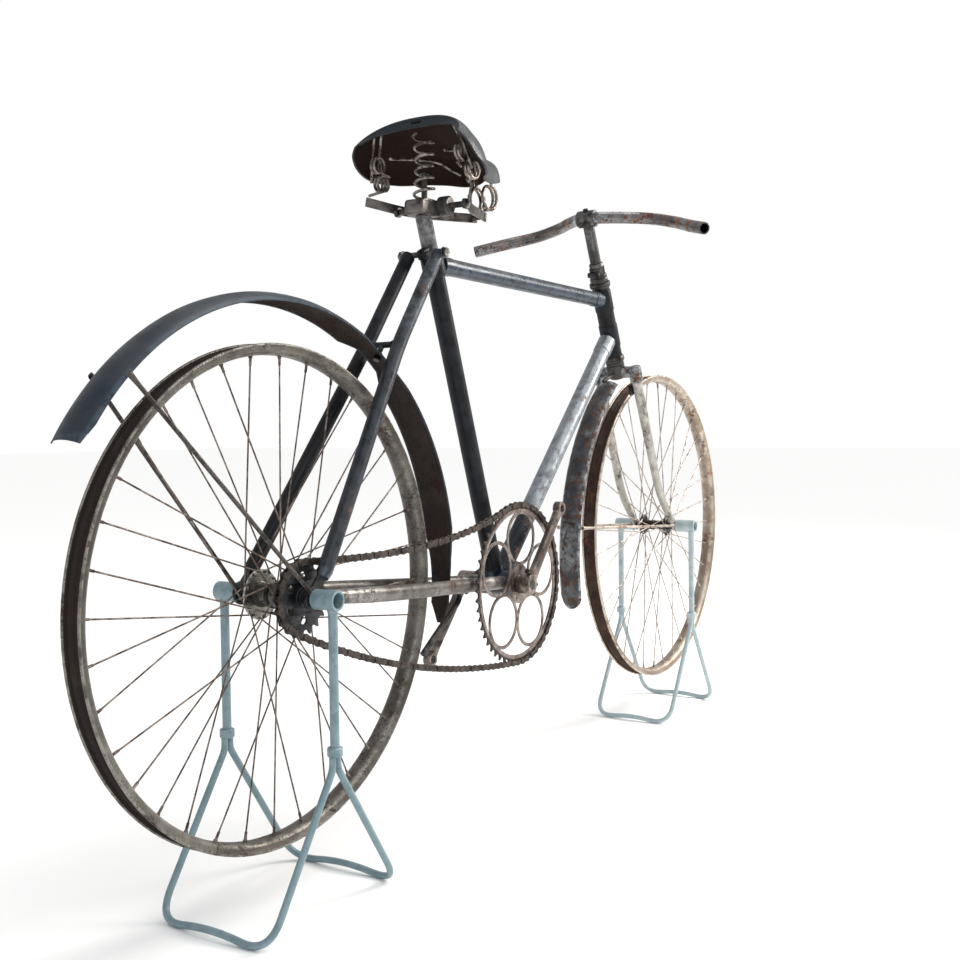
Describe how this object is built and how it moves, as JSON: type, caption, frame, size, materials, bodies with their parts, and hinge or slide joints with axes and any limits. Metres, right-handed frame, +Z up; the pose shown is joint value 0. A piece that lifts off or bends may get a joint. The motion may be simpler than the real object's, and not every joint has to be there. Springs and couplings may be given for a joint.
{
  "type": "rusty bicycle on display stands",
  "caption": "Weathered old bicycle with bare rims, turning wheels, cranks and steering, held up at both axles by bent-rod display stands.",
  "frame": {"origin": "on the floor, midway along the overall length, in the bicycle's middle plane", "axes": "+X forwards, +Y to the rider's left, +Z up"},
  "size_m": [1.867, 0.4994, 1.08],
  "materials": {
    "frame_paint": "dark blue-black paint, worn and speckled with rust",
    "guard_paint": "dark blue paint with orange-brown rust",
    "rusty_steel": "brown rust over bare steel",
    "bare_steel": "dull steel with rust in the corners",
    "worn_nickel": "pitted plating with brown rust",
    "greasy_steel": "black grease and dirt",
    "saddle_skin": "cracked dark hide over a steel pan",
    "stand_paint": "pale blue-grey paint"
  },
  "bodies": {
    "frame": {"bottom_bracket_shell": "frame_paint", "seat_tube": "frame_paint", "head_tube": "frame_paint", "top_tube": "frame_paint", "down_tube": "frame_paint", "rear_dropout_right": "greasy_steel", "rear_dropout_left": "greasy_steel", "chain_stay_right": "frame_paint", "chain_stay_left": "frame_paint", "seat_stay_right": "frame_paint", "seat_stay_left": "frame_paint", "seat_stay_bridge": "frame_paint", "chain_stay_bridge": "frame_paint", "seat_post": "worn_nickel", "saddle_top": "saddle_skin", "saddle_frame": "bare_steel", "saddle_spring_right": "bare_steel", "saddle_spring_left": "bare_steel", "saddle_nose_spring": "bare_steel", "rear_mudguard": "guard_paint", "rear_mudguard_stay_right": "greasy_steel", "rear_mudguard_stay_left": "greasy_steel", "chain": "rusty_steel", "rear_axle": "greasy_steel", "rear_stand_right": "stand_paint", "rear_stand_left": "stand_paint", "rear_stand_rod_back": "stand_paint", "rear_stand_rod_front": "stand_paint"},
    "fork": {"fork_crown": "frame_paint", "fork_blade_right": "frame_paint", "fork_blade_left": "frame_paint", "headset_locknut": "greasy_steel", "handlebar_stem": "bare_steel", "handlebar": "worn_nickel", "front_mudguard": "guard_paint", "front_mudguard_stay_right": "rusty_steel", "front_mudguard_stay_left": "rusty_steel", "front_axle": "greasy_steel", "front_stand_right": "stand_paint", "front_stand_left": "stand_paint", "front_stand_rod_back": "stand_paint", "front_stand_rod_front": "stand_paint"},
    "front_wheel": {"front_rim": "rusty_steel", "front_hub_and_spokes": "rusty_steel"},
    "rear_wheel": {"rear_rim": "rusty_steel", "rear_hub_and_spokes": "rusty_steel"},
    "crankset": {"chainring": "worn_nickel", "crank_right": "worn_nickel", "crank_left": "worn_nickel", "crank_axle": "greasy_steel"},
    "sprocket": {"rear_sprocket": "greasy_steel"}
  },
  "joints": [
    {"name": "steering", "type": "hinge", "parent": "frame", "child": "fork", "pos_m": [0.37509, 0, 0.82056], "axis": [-0.4067, 0, 0.9135], "range_deg": [-45, 45]},
    {"name": "front_wheel_spin", "type": "hinge", "parent": "fork", "child": "front_wheel", "pos_m": [0.61052, 0, 0.39996], "axis": [0, 1, 0], "continuous": true},
    {"name": "rear_wheel_spin", "type": "hinge", "parent": "frame", "child": "rear_wheel", "pos_m": [-0.60448, 0, 0.39996], "axis": [0, 1, 0], "continuous": true},
    {"name": "crank_spin", "type": "hinge", "parent": "frame", "child": "crankset", "pos_m": [-0.05848, 0, 0.35396], "axis": [0, 1, 0], "continuous": true},
    {"name": "sprocket_spin", "type": "hinge", "parent": "frame", "child": "sprocket", "pos_m": [-0.60448, 0, 0.39996], "axis": [0, 1, 0], "continuous": true}
  ],
  "couplings": [
    {"joint": "sprocket_spin", "follows": "crank_spin", "ratio": 2.8889}
  ]
}
